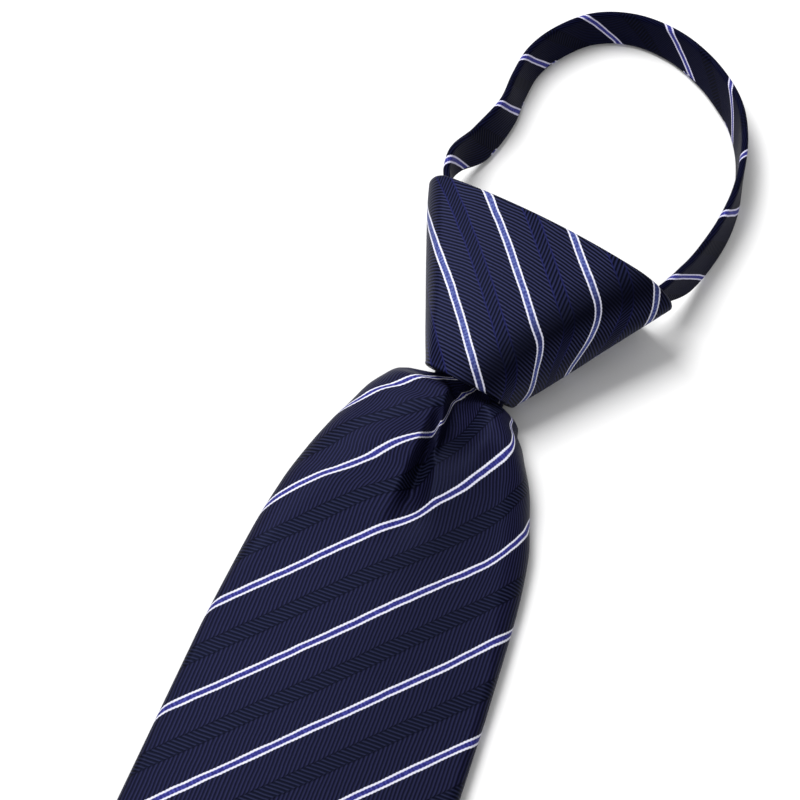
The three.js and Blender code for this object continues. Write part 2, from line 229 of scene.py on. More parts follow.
clothLook = {
    "groundLow": "#0a0a19",  # between the ribs, painted shade
    "groundHigh": "#232444",  # on the ribs, a painted highlight
    "reversedLow": "#040510",
    "reversedHigh": "#232640",
    "lineColour": "#050512",
    "lineShare": 0.8,
    "coreLow": "#25256a",
    "coreHigh": "#45479a",
    "coreMottle": (0.4, 0.68),  # grain at which the core turns from its low to its high colour
    "threadMottle": 0.04,
    "whiteHigh": "#e8e8f2",
    "whiteLow": "#b6b6d0",
    "whiteMottle": (0.35, 0.65),
    "whiteReach": 0.5,
    "shadedGround": "#010104",  # painted shade: the colour the ground turns to where shade is painted
    "shadedCore": "#0a0a24",
    "shadedCoreShare": 0.85,
    "shadedWhite": "#4a4a66",
    "shadedWhiteShare": 0.45,
    "ribSharpness": 2.0,
    "stripeHalf": 0.81,  # millimetres out to the white threads' outer edge
    "coreHalf": 0.43,  # millimetres out to the white threads' inner edge
    "bump": 0.45,
    "roughness": 0.46,
    "specular": 0.07,
    "glossColour": "#a8b4ff",
}
litKnotLook = {  # painted sheen: lighter colours, as the knot's ribs are turned across the light; wider stripes too
    "groundLow": "#020208",
    "groundHigh": "#303354",
    "reversedLow": "#020209",
    "reversedHigh": "#24274a",
    "lineColour": "#1c1e54",
    "lineShare": 0.7,
    "coreLow": "#353b7c",
    "coreHigh": "#6673ac",
    "stripeHalf": 0.96,
    "coreHalf": 0.58,
}
shadedBandLook = {  # painted shade: darker colours, as the band stands on its edge; less gloss too
    "groundLow": "#03030b",
    "groundHigh": "#121432",
    "reversedLow": "#03030b",
    "reversedHigh": "#0f1128",
    "specular": 0.03,
    "coreLow": "#2c2c70",
    "coreHigh": "#484a9c",
    "whiteHigh": "#d8d6ec",
    "whiteLow": "#a8a6c8",
}


# Jacquard-woven polyester: satin stripes and a twill ground with a reversed band midway. To the eye it is
# a near-black navy with fine raised ribs that catch the light, and crisp white-edged periwinkle stripes.
def jacquardMaterial(name, look):
    material, tree = newMaterial(name)
    maths, colours = "ShaderNodeMath", {"data_type": "RGBA"}

    # place on the cloth, which wanders a little, and the ways square to the stripes and along them
    uv = addNode(tree, "ShaderNodeUVMap", uv_map="clothMm")
    drift = addNode(tree, "ShaderNodeTexNoise", {"Vector": uv, "Scale": weave["driftsPerMm"], "Detail": 2.0})
    offset = addNode(tree, "ShaderNodeVectorMath", {
        0: drift.outputs["Color"], 1: (weave["drift"],) * 3, 2: (-weave["drift"] / 2,) * 3,
    }, operation="MULTIPLY_ADD")
    cloth = addNode(tree, "ShaderNodeVectorMath", {0: uv, 1: offset}, operation="ADD")
    across, along, _ = addNode(tree, "ShaderNodeSeparateXYZ", {0: cloth}).outputs
    lean = math.radians(weave["stripeLean"])
    ways = ((-math.sin(lean), math.cos(lean), 0.0), (math.cos(lean), math.sin(lean), 0.0))
    square, run = [
        addNode(tree, "ShaderNodeVectorMath", {0: cloth, 1: way}, operation="DOT_PRODUCT").outputs["Value"]
        for way in ways]

    # ribs of the ground run along the cloth, and those of the reversed band across it
    waves = []
    for place, pitch, shape in (
            (across, weave["ribPitch"], "COSINE"),
            (along, weave["reversedPitch"], "COSINE"),
            (run, weave["threadPitch"], "SINE")):
        turns = addNode(tree, maths, {0: place, 1: 2 * math.pi / pitch}, operation="MULTIPLY")
        waves.append(addNode(tree, maths, {0: turns}, operation=shape))
    groundWave, crossWave, threadWave = waves
    grain = addNode(tree, "ShaderNodeTexNoise", {
        "Vector": uv, "Scale": weave["grainsPerMm"], "Detail": 3.0, "Roughness": 0.65}).outputs[0]

    # distances to the stripes and to the border lines, unevened by threads and grain
    toStripe = addNode(tree, maths, {0: square, 1: weave["repeat"] / 2}, operation="PINGPONG")
    toReversed = addNode(tree, maths, {0: weave["repeat"] / 2, 1: toStripe}, operation="SUBTRACT")
    wobble = addNode(tree, maths, {
        0: grain, 1: weave["grainScallop"], 2: -weave["grainScallop"] / 2}, operation="MULTIPLY_ADD")
    wobble = addNode(tree, maths, {0: threadWave, 1: weave["scallop"], 2: wobble}, operation="MULTIPLY_ADD")
    edgeDistance = addNode(tree, maths, {0: toStripe, 1: wobble}, operation="ADD")
    lineDistance = addNode(tree, maths, {
        0: wobble, 1: weave["lineScallop"], 2: toReversed}, operation="MULTIPLY_ADD")
    lineDistance = addNode(tree, maths, {
        0: lineDistance, 1: weave["reversedHalf"] + weave["lineOut"]}, operation="SUBTRACT")
    lineDistance = addNode(tree, maths, {0: lineDistance}, operation="ABSOLUTE")
    masks = []
    for distance, half, soft in (
            (edgeDistance, look["stripeHalf"], weave["stripeSoft"]),
            (edgeDistance, look["coreHalf"], weave["coreSoft"]),
            (toReversed, weave["reversedHalf"], weave["reversedSoft"]),
            (lineDistance, weave["lineHalf"], weave["lineSoft"])):
        masks.append(addNode(tree, "ShaderNodeMapRange", {
            "Value": distance, "From Min": half - soft, "From Max": half + soft, "To Min": 1.0, "To Max": 0.0,
        }, interpolation_type="SMOOTHSTEP"))
    inStripe, inCore, inReversed, onLine = masks

    # how high and how light the ribs are: a painted highlight on their crests and painted shade between them,
    # varied by the grain
    rib = addNode(tree, "ShaderNodeMix", {0: inReversed, 2: groundWave, 3: crossWave}, data_type="FLOAT")
    rib = addNode(tree, maths, {0: rib, 1: 0.5, 2: 0.5}, operation="MULTIPLY_ADD")
    sharpRib = addNode(tree, maths, {0: rib, 1: look["ribSharpness"]}, operation="POWER")
    grainShade = addNode(tree, maths, {
        0: grain, 1: weave["grainReach"], 2: weave["grainLow"]}, operation="MULTIPLY_ADD")
    ribShade = addNode(tree, maths, {0: sharpRib, 1: grainShade}, operation="MULTIPLY")

    # ground, with its reversed bands, their border lines and painted shade
    paintedShade = addNode(tree, "ShaderNodeAttribute", attribute_name="paintedShade").outputs["Fac"]
    ground = addNode(tree, "ShaderNodeMix", {
        0: ribShade, 6: look["groundLow"], 7: look["groundHigh"]}, **colours)
    other = addNode(tree, "ShaderNodeMix", {
        0: ribShade, 6: look["reversedLow"], 7: look["reversedHigh"]}, **colours)
    ground = addNode(tree, "ShaderNodeMix", {0: inReversed, 6: ground, 7: other}, **colours)
    lineShare = addNode(tree, maths, {0: onLine, 1: look["lineShare"]}, operation="MULTIPLY")
    ground = addNode(tree, "ShaderNodeMix", {0: lineShare, 6: ground, 7: look["lineColour"]}, **colours)
    ground = addNode(tree, "ShaderNodeMix", {0: paintedShade, 6: ground, 7: look["shadedGround"]}, **colours)

    # mottled core and white threads of the stripes, which the painted shade darkens less
    mottle = addNode(tree, maths, {0: threadWave, 1: look["threadMottle"], 2: grain}, operation="MULTIPLY_ADD")
    mottle, whiteMottle = [
        addNode(tree, "ShaderNodeMapRange", {"Value": value, "From Min": low, "From Max": high},
                interpolation_type="SMOOTHSTEP")
        for value, (low, high) in ((mottle, look["coreMottle"]), (grain, look["whiteMottle"]))]
    whiteShade = addNode(tree, maths, {0: threadWave, 1: weave["threadRelief"]}, operation="MULTIPLY")
    whiteShade = addNode(tree, maths, {
        0: whiteMottle, 1: look["whiteReach"], 2: whiteShade}, operation="MULTIPLY_ADD")
    threads = []
    for share, low, high, shadeShare, shadeColour in (
            (whiteShade, "whiteHigh", "whiteLow", "shadedWhiteShare", "shadedWhite"),
            (mottle, "coreLow", "coreHigh", "shadedCoreShare", "shadedCore")):
        colour = addNode(tree, "ShaderNodeMix", {0: share, 6: look[low], 7: look[high]}, **colours)
        shadeZone = addNode(tree, maths, {0: paintedShade, 1: look[shadeShare]}, operation="MULTIPLY")
        threads.append(addNode(tree, "ShaderNodeMix", {0: shadeZone, 6: colour, 7: look[shadeColour]}, **colours))
    stripe = addNode(tree, "ShaderNodeMix", {0: inCore, 6: threads[0], 7: threads[1]}, **colours)
    colour = addNode(tree, "ShaderNodeMix", {0: inStripe, 6: ground, 7: stripe}, **colours)

    raised = addNode(tree, maths, {0: threadWave, 1: weave["threadRelief"], 2: 1.0}, operation="MULTIPLY_ADD")
    raised = addNode(tree, "ShaderNodeMix", {0: inStripe, 2: rib, 3: raised}, data_type="FLOAT")
    bump = addNode(tree, "ShaderNodeBump", {
        "Height": raised, "Strength": look["bump"], "Distance": weave["ribHeight"] * mm})
    shader = addNode(tree, "ShaderNodeBsdfPrincipled", {
        "Base Color": colour,
        "Roughness": look["roughness"],
        "Specular IOR Level": look["specular"],
        "Specular Tint": look["glossColour"],
        "Normal": bump,
    })
    addNode(tree, "ShaderNodeOutputMaterial", {"Surface": shader})
    return material


# Plain polyester yarn or tape: matt, in two close shades of navy that follow its fine ribs or plies
def yarnMaterial(name, look):
    material, tree = newMaterial(name)
    place = addNode(tree, "ShaderNodeTexCoord").outputs["Object"]
    scale = 2 * math.pi / look["waveRate"] / (look["ribPitch"] * mm)
    ribs = addNode(tree, "ShaderNodeTexWave", {
        "Vector": place, "Scale": scale, "Distortion": look["waver"]}, bands_direction=look["ribsAlong"])
    ribs = ribs.outputs["Fac"]
    colour = addNode(tree, "ShaderNodeMix", {0: ribs, 6: look["low"], 7: look["high"]}, data_type="RGBA")
    bump = addNode(tree, "ShaderNodeBump", {
        "Height": ribs, "Strength": look["bump"], "Distance": look["ribHeight"] * mm})
    shader = addNode(tree, "ShaderNodeBsdfPrincipled", {
        "Base Color": colour, "Roughness": look["roughness"], "Specular IOR Level": 0.3, "Normal": bump})
    addNode(tree, "ShaderNodeOutputMaterial", {"Surface": shader})
    return material


bladeJacquard = jacquardMaterial("bladeJacquard", clothLook)
# the knot's copy of the cloth carries painted sheen
litKnotJacquard = jacquardMaterial("litKnotJacquard", {**clothLook, **litKnotLook})
# the band's copy of the cloth carries painted shade
shadedBandJacquard = jacquardMaterial("shadedBandJacquard", {**clothLook, **shadedBandLook})
print("jacquard made")

# Shares run from 0 to 1, and places across a section from -1 at its left edge to 1 at its right edge
knot = {
    "length": 37.0,
    "rimWidth": 57.6,
    "lipWidth": 20.4,
    "rimDepth": 19.0,
    "lipDepth": 13.5,
    "wall": 2.2,
    "lipWall": 1.6,
    "lipWallReach": 0.25,  # share of the length over which the wall grows from the lip's to the full one
    "turn": 9.5,  # degrees, clockwise from the blade's line
    "rimSkew": 2.0,  # degrees
    "footRoundness": 1.25,
    "lipRecess": 6.0,  # how far the back stops short of the front, at the lip and at the rim
    "rimRecess": 1.0,
    "rimBow": 0.7,
    "acrossFine": 150,
    "alongFine": 64,
    "rollFine": 8,
    "fill": 0.8,
    # sections from lip to rim: shares of the length, of the way from the lip's width and depth to the rim's,
    # of the half width that each side and the foot roll over, of the depth at the widest line, and of the
    # depth that the front falls to its sides
    "sections": [
        ("at", "width", "depth", "leftRoll", "rightRoll", "footRoll", "side", "dome"),
        (0.0, 0.0, 0.0, 0.3, 0.6, 0.3, 0.35, 0.08),
        (0.12, 0.13, 0.3, 0.28, 0.56, 0.3, 0.38, 0.09),
        (0.35, 0.36, 0.62, 0.24, 0.46, 0.3, 0.45, 0.1),
        (0.65, 0.66, 0.88, 0.18, 0.39, 0.31, 0.56, 0.11),
        (0.9, 0.91, 0.99, 0.14, 0.34, 0.32, 0.63, 0.12),
        (1.0, 1.0, 1.0, 0.12, 0.32, 0.32, 0.64, 0.12),
    ],
    # how the cloth is drawn out of true: its ribs lean and bow over the front, and its stripes bend
    "ribLean": -0.12,
    "ribBowLeft": -0.0066,
    "ribBowRight": -0.001,
    "stripeStart": -4.45,
    "stripeAlong": -0.04,
    "stripeAround": 1.042,
    "stripeAlongBow": 0.00188,
    "stripeTwist": 0.00046,
    "stripeAroundBow": -0.00476,
    # millimetres by which it is pulled round past the right-hand ridge, at each share of the length
    "sidePull": [("at", "pull"), (0.0, 7.0), (0.1, 5.6), (0.38, 12.5), (0.65, 8.5), (0.85, 4.5), (1.0, 3.5)],
    # painted shade along that ridge: its place, its reach to each side and how dark it is painted
    "ridge": [
        ("at", "place", "before", "after", "closed"),
        (0.0, 0.35, 0.7, 0.6, 0.88),
        (0.3, 0.52, 0.5, 0.4, 0.9),
        (0.6, 0.68, 0.42, 0.28, 0.92),
        (0.85, 0.78, 0.4, 0.26, 0.9),
        (1.0, 0.84, 0.4, 0.3, 0.85),
    ],
    "sideShade": 0.35,  # painted shade where the cloth turns under
    "sideFrom": 0.8,
    "sideTo": 0.98,
    "rimShade": 0.85,  # and painted shade where it turns in over the rim
    "rimShare": 0.25,  # of the wall
}
knotPlaces, knotOnTop = aroundPlaces(knot["acrossFine"], knot["acrossFine"] // 2)


# Ring of the knot at a share of its length, drawn in from its outer face and pushed along by a bulge
def knotRing(at, inset, bulge):
    section = tableAt(knot["sections"], at)
    half = lerp(knot["lipWidth"], knot["rimWidth"], section["width"]) / 2 - inset
    depth = lerp(knot["lipDepth"], knot["rimDepth"], section["depth"]) - inset
    edge = lerp(inset, depth, section["side"])
    place = knotPlaces
    front = depth * (1 - section["dome"] * place ** 2)
    inFrom = (1 - np.abs(place)) * half
    left = rolled(inFrom, section["leftRoll"] * half)
    right = rolled(inFrom, section["rightRoll"] * half)
    top = edge + (front - edge) * np.where(place < 0, left, right)
    bottom = edge - (edge - inset) * rolled(inFrom, section["footRoll"] * half, knot["footRoundness"])
    x = place * half
    z = np.where(knotOnTop, top, bottom)
    behind = 1 - z / (depth + inset)
    lip = -knot["length"] / 2 + knot["lipRecess"] * behind
    rim = knot["length"] / 2 - knot["rimRecess"] * behind
    rim = rim - x * math.tan(math.radians(knot["rimSkew"])) + knot["rimBow"] * (1 - place ** 2)
    return np.stack([x, lerp(lip, rim, at) + bulge, z], -1)


# Cloth coordinates round one ring, at a distance along the knot from its lip
def knotUv(around, distance, at):
    a = -distance
    bow = np.where(around < 0, knot["ribBowLeft"], knot["ribBowRight"])
    acrossCloth = a + knot["ribLean"] * around + bow * around ** 2
    alongCloth = knot["stripeStart"] + knot["stripeAlong"] * a + knot["stripeAround"] * around
    alongCloth = alongCloth + knot["stripeAlongBow"] * a ** 2 + knot["stripeTwist"] * a * around
    alongCloth = alongCloth + knot["stripeAroundBow"] * around ** 2
    place = np.append(np.where(knotOnTop, knotPlaces, 0), 0)
    ridge = 1 - tableAt(knot["sections"], at)["rightRoll"]
    side = np.clip((place - ridge) / (1 - ridge), 0, 1) ** 2
    return np.stack([acrossCloth, alongCloth + side * tableAt(knot["sidePull"], at)["pull"]], -1)


# Painted shade: the cloth is painted darker along and past the right-hand ridge, where it turns under and over
# the rim
def knotPaintedShade(at, inset):
    ridge = tableAt(knot["ridge"], at)
    onRidge = ridge["closed"] * creaseFall(knotPlaces - ridge["place"], ridge["before"], ridge["after"])
    onSide = knot["sideShade"] * smoothStep(np.abs(knotPlaces), knot["sideFrom"], knot["sideTo"])
    onRim = knot["rimShade"] * smoothStep(inset, 0, knot["wall"] * knot["rimShare"])
    return np.where(knotOnTop, np.maximum(np.maximum(onRidge, onSide), onRim), 0)


# Outer face from lip to rim, rolled rim, inner face back to the lip, rolled lip
def makeKnot():
    angles = [math.pi * i / knot["rollFine"] for i in range(1, knot["rollFine"])]
    rows = [(i / knot["alongFine"], 0.0, 0.0) for i in range(knot["alongFine"] + 1)]
    for angle in angles:
        rows.append((1.0, knot["wall"] * (1 - math.cos(angle)) / 2, knot["wall"] / 2 * math.sin(angle)))
    for i in range(knot["alongFine"], -1, -2):  # half as fine inside
        at = i / knot["alongFine"]
        rows.append((at, lerp(knot["lipWall"], knot["wall"], min(1, at / knot["lipWallReach"])), 0.0))
    for angle in reversed(angles):
        rows.append((0.0, knot["lipWall"] * (1 - math.cos(angle)) / 2, -knot["lipWall"] / 2 * math.sin(angle)))
    join = len(rows) - knot["rollFine"] - knot["alongFine"] // 4  # the cloth's ends meet inside, out of sight
    rows = rows[join:] + rows[:join]
    rings = [knotRing(*row) for row in rows]
    middle = int(np.where(knotOnTop & (np.abs(knotPlaces) < 1e-6))[0][0])
    along = [0.0]
    for before, after in zip(rings, rings[1:] + rings[:1]):
        along.append(along[-1] + float(np.linalg.norm(after[middle] - before[middle])))
    along = np.array(along) - along[len(rows) - join]
    uvRows = []
    for ring, row, distance in zip(rings + rings[:1], rows + rows[:1], along):
        around = aroundLengths(ring, middle)
        uvRows.append(knotUv(around, np.full_like(around, distance), row[0]))
    closed = np.array([knotPaintedShade(at, inset) for at, inset, bulge in rows])
    return gridMesh("knot_cloth", turned(np.array(rings), -knot["turn"]), np.array(uvRows), True, closed)


knotPiece = makeKnot()
dress(knotPiece, "knot", litKnotJacquard)
print("knot made,", len(knotPiece.data.polygons), "faces")

# The zip's tail lies in a hollow of the blade's back, so its sizes stand here
tail = {
    "length": 230.0,
    "width": 12.0,
    "thickness": 1.8,
    "inside": 0.04,  # how far the tape's face lies inside the plain tail's
    "edgeRound": 0.6,
    "alongFine": 200,
    "endFine": 30,
    "edgeFine": 5,
    "acrossFine": 16,
}
tapeLook = {
    "low": "#12131f",
    "high": "#23253a",
    "ribPitch": 0.9817,
    "waveRate": 20,  # radians that the wave turns for each unit along one axis
    "waver": 0.4,
    "ribsAlong": "Y",
    "bump": 0.4,
    "ribHeight": 0.1,
    "roughness": 0.8,
}
blade = {
    "length": 444.0,
    "shoulderWidth": 80.0,
    "gatheredCloth": 54.0,  # width of the cloth at the lip, before it is gathered
    "thickness": 4.0,
    "tipAngle": 90.0,
    "shift": 5.7,  # how far its middle lies to the left of the knot's
    "gather": 62.0,
    "bundle": 12.0,  # how far it goes up into the knot
    "underRoll": 8.0,
    "lobeBlend": 0.2,
    "ease": 0.7,  # between the bundle and the knot
    "clearance": 0.3,  # between the cloth and the zip's tail
    "tailSlope": 1.6,  # over which the cloth comes down beside the tail
    "leastCloth": 1.0,  # thickness that stays over it
    "foldLine": -2.2,  # the cloth's line that stays in the crease, from the knot's middle
    "foldMiddle": -1.2,  # across the cloth, the middle of where the fold takes it in
    "foldReach": 3.4,  # how far to each side of that
    "pleatFrom": 2.5,  # below the lip, where the cloth starts to be drawn together as pleats
    "edgeFrom": 0.6,  # shares of the half width over which the right edge is drawn in
    "edgeTo": 0.95,
    "weaveStart": 7.48,  # how far the cloth's first stripe lies from the lip, along the blade
    "overFine": 230,
    "underFine": 70,
    "gatherFine": 130,
    "gatherCrowding": 1.15,
    "straightFine": 110,
    "tipFine": 24,
    "tipGap": 0.5,
    "fill": 0.3,
    "sideShade": 0.3,  # painted shade at the side edges
    "sideFrom": 0.88,
    "sideTo": 0.99,
    # sections down from the lip. at, shift and spread: shares of the gather, of the blade's shift and of the
    # way to the flat cloth. left, right: heights of the two lobes, as shares of the way up to the knot's
    # hollow. crease to creaseRight: its depth as a share of that hollow, its place and its two widths.
    # The rolls: shares of the half width. edge: share of the thickness. floor, turn: shares of the lift over
    # the knot's back and of the knot's turn.
    "gatherRows": [
        ("at", "shift", "spread", "left", "right", "crease", "creaseAt", "creaseLeft", "creaseRight",
         "leftRoll", "rightRoll", "edge", "floor", "turn"),
        (-0.2, 0.15, 0.0, 0.9, 0.9, 0.25, 0.0, 0.5, 0.5, 0.7, 0.7, 0.8, 1.0, 1.0),
        (-0.07, 0.4, 0.0, 0.85, 0.85, 0.3, 0.05, 0.4, 0.7, 0.8, 0.8, 0.8, 1.0, 1.0),
        (-0.034, 0.46, 0.0, 0.7, 0.85, 0.3, 0.08, 0.35, 0.75, 1.0, 0.95, 0.8, 0.6, 1.0),
        (-0.01, 0.74, 0.32, 0.62, 0.8, 0.2, 0.08, 0.3, 0.8, 1.0, 0.75, 0.85, 0.0, 1.0),
        (0.03, 0.85, 0.39, 0.97, 0.92, 0.0, 0.06, 0.24, 0.7, 0.9, 0.5, 0.85, 0.0, 0.9),
        (0.08, 0.9, 0.5, 0.96, 0.93, 0.0, 0.08, 0.18, 0.58, 0.84, 0.34, 0.78, 0.0, 0.65),
        (0.13, 0.93, 0.57, 0.9, 0.92, 0.0, 0.08, 0.16, 0.48, 0.8, 0.28, 0.72, 0.0, 0.4),
        (0.22, 0.93, 0.7, 0.72, 0.76, 0.0, 0.08, 0.15, 0.38, 0.72, 0.26, 0.66, 0.0, 0.2),
        (0.32, 0.95, 0.8, 0.54, 0.58, 0.0, 0.05, 0.16, 0.34, 0.6, 0.26, 0.6, 0.0, 0.1),
        (0.45, 0.94, 0.9, 0.36, 0.4, 0.0, 0.0, 0.2, 0.36, 0.4, 0.24, 0.54, 0.0, 0.0),
        (0.65, 0.96, 0.965, 0.16, 0.18, 0.0, 0.0, 0.2, 0.3, 0.2, 0.16, 0.5, 0.0, 0.0),
        (1.0, 1.0, 1.0, 0.0, 0.0, 0.0, 0.0, 0.2, 0.2, 0.0, 0.0, 0.5, 0.0, 0.0),
    ],
    # the dimple's two valleys, in millimetres below the lip: where each lies, how deep it is, and its width
    # to each side
    "innerValley": [
        ("down", "place", "deep", "left", "right"),
        (-1.0, -4.3, 0.0, 1.8, 6.0),
        (0.5, -4.3, 3.4, 1.8, 7.0),
        (2.0, -4.1, 5.0, 1.7, 8.5),
        (4.7, -3.8, 5.4, 1.6, 9.5),
        (8.0, -3.4, 5.0, 1.5, 9.5),
        (11.0, -3.2, 3.6, 1.5, 9.0),
        (14.0, -3.0, 2.0, 1.7, 8.5),
        (18.0, -2.9, 0.8, 2.0, 8.0),
        (24.0, -2.8, 0.0, 2.5, 8.0),
    ],
    "outerValley": [
        ("down", "place", "deep", "left", "right"),
        (5.0, -5.4, 0.0, 1.6, 1.8),
        (7.5, -5.7, 1.8, 1.7, 1.8),
        (10.0, -5.8, 3.4, 1.8, 2.0),
        (14.0, -5.9, 4.6, 2.0, 2.6),
        (19.0, -6.0, 4.9, 2.3, 4.0),
        (23.0, -5.9, 4.0, 2.6, 5.0),
        (27.0, -5.7, 2.1, 3.2, 6.5),
        (32.0, -5.5, 0.5, 4.2, 8.0),
        (37.0, -5.4, 0.0, 5.0, 9.0),
    ],
    # cloth that the dimple's fold takes in on each side and that is drawn in at the right edge, and how wide
    # the fold reaches as a share of its own reach
    "folds": [
        ("down", "left", "right", "edge", "reach"),
        (-12.0, 5.2, 6.5, 16.0, 1.0),
        (0.0, 5.0, 6.0, 12.5, 1.0),
        (4.5, 4.3, 4.0, 8.5, 1.0),
        (7.0, 2.4, 2.9, 6.0, 1.0),
        (10.0, -0.2, 2.2, 3.2, 1.0),
        (14.0, -2.9, 1.4, 2.6, 1.0),
        (17.5, -3.3, 0.6, 3.6, 1.0),
        (20.5, -2.8, -0.3, 4.6, 1.2),
        (24.0, -1.6, -0.9, 3.6, 1.8),
        (29.0, -0.4, -1.2, 2.6, 2.4),
        (36.0, -0.1, -0.7, 1.4, 2.6),
        (46.0, 0.0, 0.0, 0.4, 2.6),
        (62.0, 0.0, 0.0, 0.0, 2.4),
    ],
    # painted shade right of the dimple: its place in millimetres across the cloth, its reach to each side, and
    # how dark
    "shadeZone": [
        ("down", "place", "left", "right", "closed"),
        (-1.0, 4.0, 8.0, 16.0, 0.0),
        (4.0, 4.0, 9.0, 17.0, 0.15),
        (12.0, 3.0, 8.0, 22.0, 0.6),
        (22.0, 4.0, 9.0, 26.0, 0.55),
        (34.0, 7.0, 16.0, 30.0, 0.35),
        (55.0, 14.0, 28.0, 34.0, 0.25),
        (90.0, 20.0, 40.0, 40.0, 0.2),
        (140.0, 20.0, 40.0, 40.0, 0.0),
    ],
}
# Down the middle of the back the cloth's two folded edges meet and are caught together by slip stitches
seam = {
    "depth": 0.6,
    "half": 1.3,
    "fade": 4,  # how fast the groove fades where the cloth is gathered
    "backLines": (0.008, 0.017, 0.026, 0.035),  # places across the back that give the groove its shape
    "from": 262.0,
    "to": 396.0,
    "stitchPitch": 6.0,
    "stitchLength": 3.4,
    "stitchLean": 50.0,  # degrees from the seam
    "threadRadius": 0.16,
    "threadHeight": 0.26,
    "threadSides": 8,
}
threadLook = {
    "low": "#0c0d22",
    "high": "#2a2c4c",
    "ribPitch": 0.6981,  # from one ply to the next, added up along the three axes
    "waveRate": 10,  # radians that the wave turns for each unit of that sum
    "waver": 0.0,
    "ribsAlong": "DIAGONAL",
    "bump": 0.3,
    "ribHeight": 0.05,
    "roughness": 0.7,
}
bladePlaces, bladeOnTop = aroundPlaces(blade["overFine"], blade["underFine"], seam["backLines"])
tipSlope = math.tan(math.radians(blade["tipAngle"] / 2))
shoulder = blade["length"] - blade["shoulderWidth"] / 2 / tipSlope


# Half width of the flat cloth at a distance down from the lip
def clothHalf(down):
    straight = lerp(blade["gatheredCloth"], blade["shoulderWidth"], down / shoulder) / 2
    return min(straight, (blade["length"] - down) * tipSlope)


# Top end of the zip's tail, just below the lip at the knot's back
def tailTop():
    lipBack = -knot["length"] / 2 + knot["lipRecess"] - knot["lipWall"] / 2
    return lipBack - blade["clearance"] - tail["width"] / 2 * math.sin(math.radians(knot["turn"]))


# Height that the cloth keeps over the zip's tail, where it lies behind the blade
def overTail(x, y):
    half = tail["width"] / 2
    endCentre = tailTop() - tail["length"] + half
    dx = np.abs(x + blade["shift"])
    dy = np.maximum(endCentre - y, 0)
    out = np.where(dy > 0, np.hypot(dx, dy), dx) - half
    height = tail["thickness"] + blade["clearance"]
    return height * (1 - smoothStep(out, blade["clearance"], blade["clearance"] + blade["tailSlope"]))


# Ring of the blade at a distance down from the lip
def bladeRing(down):
    section = tableAt(blade["gatherRows"], min(down / blade["gather"], 1))
    hollowHalf = knot["lipWidth"] / 2 - knot["lipWall"] - blade["ease"]
    hollowTop = knot["lipDepth"] - knot["lipWall"] - blade["ease"]
    half = lerp(hollowHalf, clothHalf(down), section["spread"])
    foot = section["floor"] * (knot["wall"] + blade["clearance"])
    thickness = blade["thickness"]
    edge = min(foot + section["edge"] * thickness, (foot + hollowTop) / 2)
    place = bladePlaces
    local = place * half
    shift = blade["shift"] * section["shift"]
    pastCrease = place - section["creaseAt"]
    blend = smoothStep(pastCrease, -blade["lobeBlend"], blade["lobeBlend"])
    fall = creaseFall(pastCrease, section["creaseLeft"], section["creaseRight"])
    crest = lerp(thickness, hollowTop, lerp(section["left"], section["right"], blend))
    crest = crest - fall * section["crease"] * hollowTop
    for table in (blade["innerValley"], blade["outerValley"]):
        if table[1][0] < down < table[-1][0]:
            valley = tableAt(table, down)
            crest = crest - valley["deep"] * creaseFall(
                local - shift - valley["place"], valley["left"], valley["right"])
    inFrom = (1 - np.abs(place)) * half
    leftWidth, rightWidth = [
        min(half, max(section[side] * half, thickness / 2)) for side in ("leftRoll", "rightRoll")]
    roll = np.where(place < 0, rolled(inFrom, leftWidth), rolled(inFrom, rightWidth))
    top = edge + (crest - edge) * roll
    flat = edge - (edge - foot) * rolled(inFrom, edge - foot)
    bottom = flat + np.maximum(0, top - thickness - flat) * rolled(inFrom, blade["underRoll"])
    turn = math.radians(section["turn"] * knot["turn"])
    x = local * math.cos(turn) - shift
    y = -knot["length"] / 2 - down - local * math.sin(turn)
    groove = seam["depth"] * section["spread"] ** seam["fade"]
    bottom = bottom + groove * creaseFall(local, seam["half"], seam["half"])
    under = np.maximum(bottom, np.minimum(overTail(x, y), top - blade["leastCloth"]))
    return np.stack([x, y, np.where(bladeOnTop, top, under)], -1)


# Painted shade right of the dimple and along the side edges
def bladePaintedShade(around, down):
    shadeZone = tableAt(blade["shadeZone"], down)
    side = blade["sideShade"] * smoothStep(np.abs(bladePlaces), blade["sideFrom"], blade["sideTo"])
    inner = shadeZone["closed"] * creaseFall(around - shadeZone["place"], shadeZone["left"], shadeZone["right"])
    return np.maximum(inner, side)


# Cloth coordinates round one ring, with what the folds take in
def bladeUv(around, down, half):
    fold = tableAt(blade["folds"], down)
    reach = blade["foldReach"] * fold["reach"]
    pastFold = smoothStep(around, blade["foldMiddle"] - reach, blade["foldMiddle"] + reach)
    edge = smoothStep(around, half * blade["edgeFrom"], half * blade["edgeTo"])
    across = around + lerp(-fold["left"], fold["right"], pastFold) + fold["edge"] * edge
    return np.stack([across, np.full_like(around, blade["weaveStart"] - down)], -1)


